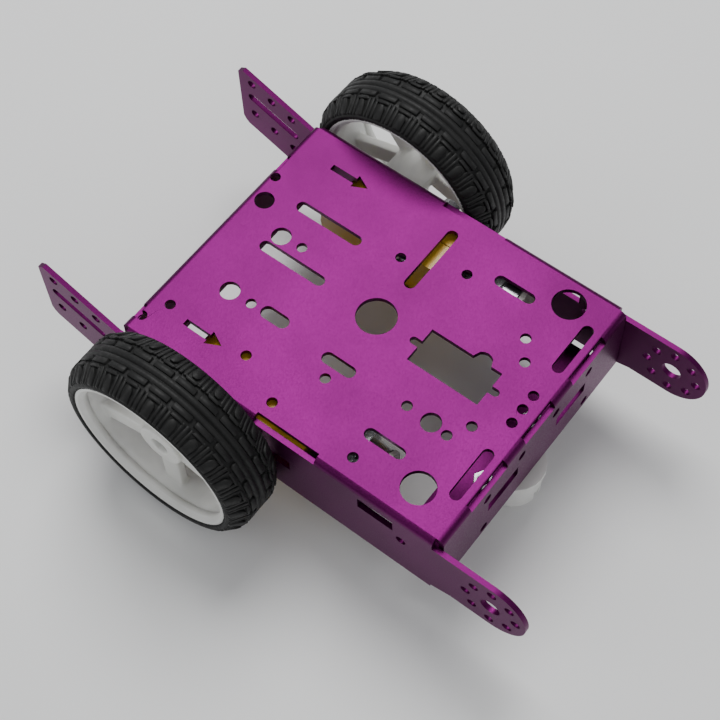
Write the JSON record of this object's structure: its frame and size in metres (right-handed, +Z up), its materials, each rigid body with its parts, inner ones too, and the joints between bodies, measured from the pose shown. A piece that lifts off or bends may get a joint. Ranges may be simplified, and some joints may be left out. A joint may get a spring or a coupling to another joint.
{
  "type": "two wheel robot car",
  "caption": "Small robot car base: a folded, drilled purple aluminium chassis on two geared-motor wheels at the rear and a ball caster under the front.",
  "frame": {"origin": "on the floor, below the middle of the car's bounding box", "axes": "+X forward, towards the rounded front ears; +Y to the car's left; +Z up"},
  "size_m": [0.1684, 0.134, 0.0648],
  "materials": {
    "purple_aluminium": "satin anodised",
    "rim_plastic": "translucent white",
    "tyre_rubber": "matt",
    "yellow_plastic": "moulded",
    "white_nylon": "moulded",
    "caster_nylon": "moulded",
    "steel": "zinc plated",
    "wound_copper": "wound core on a steel shaft",
    "ferrite": "sintered",
    "brass": "tinned",
    "clear_plastic": "clear"
  },
  "bodies": {
    "chassis": {"chassis": "purple_aluminium", "left_gearbox_outer_shell": "yellow_plastic", "left_gearbox_inner_shell": "yellow_plastic", "left_reduction_pin": "steel", "left_crown_pin": "steel", "left_motor_can": "steel", "left_motor_end_cap": "white_nylon", "left_magnet_upper": "ferrite", "left_magnet_lower": "ferrite", "left_terminal_outer": "brass", "left_terminal_inner": "brass", "left_motor_strap": "clear_plastic", "left_mount_screw_upper": "steel", "left_mount_screw_lower": "steel", "left_mount_nut_upper": "steel", "left_mount_nut_lower": "steel", "right_gearbox_outer_shell": "yellow_plastic", "right_gearbox_inner_shell": "yellow_plastic", "right_reduction_pin": "steel", "right_crown_pin": "steel", "right_motor_can": "steel", "right_motor_end_cap": "white_nylon", "right_magnet_upper": "ferrite", "right_magnet_lower": "ferrite", "right_terminal_outer": "brass", "right_terminal_inner": "brass", "right_motor_strap": "clear_plastic", "right_mount_screw_upper": "steel", "right_mount_screw_lower": "steel", "right_mount_nut_upper": "steel", "right_mount_nut_lower": "steel", "caster_housing": "caster_nylon", "caster_screw_left": "steel", "caster_nut_left": "steel", "caster_screw_right": "steel", "caster_nut_right": "steel"},
    "left_wheel": {"left_wheel_rim": "rim_plastic", "left_tyre": "tyre_rubber", "left_wheel_screw": "steel", "left_output_gear": "white_nylon"},
    "left_reduction_gear": {"left_reduction_gear": "white_nylon"},
    "left_crown_gear": {"left_crown_gear": "white_nylon"},
    "left_rotor": {"left_rotor": "wound_copper"},
    "right_wheel": {"right_wheel_rim": "rim_plastic", "right_tyre": "tyre_rubber", "right_wheel_screw": "steel", "right_output_gear": "white_nylon"},
    "right_reduction_gear": {"right_reduction_gear": "white_nylon"},
    "right_crown_gear": {"right_crown_gear": "white_nylon"},
    "right_rotor": {"right_rotor": "wound_copper"},
    "caster_ball": {"caster_ball": "caster_nylon"}
  },
  "joints": [
    {"name": "left_wheel_spin", "type": "hinge", "parent": "chassis", "child": "left_wheel", "pos_m": [-0.0269, 0.05665, 0.0324], "axis": [0, 1, 0], "continuous": true},
    {"name": "left_reduction_spin", "type": "hinge", "parent": "chassis", "child": "left_reduction_gear", "pos_m": [-0.01565, 0.0337, 0.0324], "axis": [0, 1, 0], "continuous": true},
    {"name": "left_crown_spin", "type": "hinge", "parent": "chassis", "child": "left_crown_gear", "pos_m": [-0.00565, 0.0337, 0.0324], "axis": [0, 1, 0], "continuous": true},
    {"name": "left_rotor_spin", "type": "hinge", "parent": "chassis", "child": "left_rotor", "pos_m": [0.0134, 0.0337, 0.0324], "axis": [1, 0, 0], "continuous": true},
    {"name": "right_wheel_spin", "type": "hinge", "parent": "chassis", "child": "right_wheel", "pos_m": [-0.0269, -0.05665, 0.0324], "axis": [0, 1, 0], "continuous": true},
    {"name": "right_reduction_spin", "type": "hinge", "parent": "chassis", "child": "right_reduction_gear", "pos_m": [-0.01565, -0.0337, 0.0324], "axis": [0, 1, 0], "continuous": true},
    {"name": "right_crown_spin", "type": "hinge", "parent": "chassis", "child": "right_crown_gear", "pos_m": [-0.00565, -0.0337, 0.0324], "axis": [0, 1, 0], "continuous": true},
    {"name": "right_rotor_spin", "type": "hinge", "parent": "chassis", "child": "right_rotor", "pos_m": [0.0134, -0.0337, 0.0324], "axis": [1, 0, 0], "continuous": true},
    {"name": "caster_roll", "type": "hinge", "parent": "chassis", "child": "caster_ball", "pos_m": [0.0509, 0, 0.007], "axis": [0, 1, 0], "continuous": true}
  ],
  "couplings": [
    {"joint": "left_reduction_spin", "follows": "left_wheel_spin", "ratio": -4},
    {"joint": "left_crown_spin", "follows": "left_wheel_spin", "ratio": 16},
    {"joint": "left_rotor_spin", "follows": "left_wheel_spin", "ratio": 48},
    {"joint": "right_reduction_spin", "follows": "right_wheel_spin", "ratio": -4},
    {"joint": "right_crown_spin", "follows": "right_wheel_spin", "ratio": 16},
    {"joint": "right_rotor_spin", "follows": "right_wheel_spin", "ratio": -48}
  ]
}
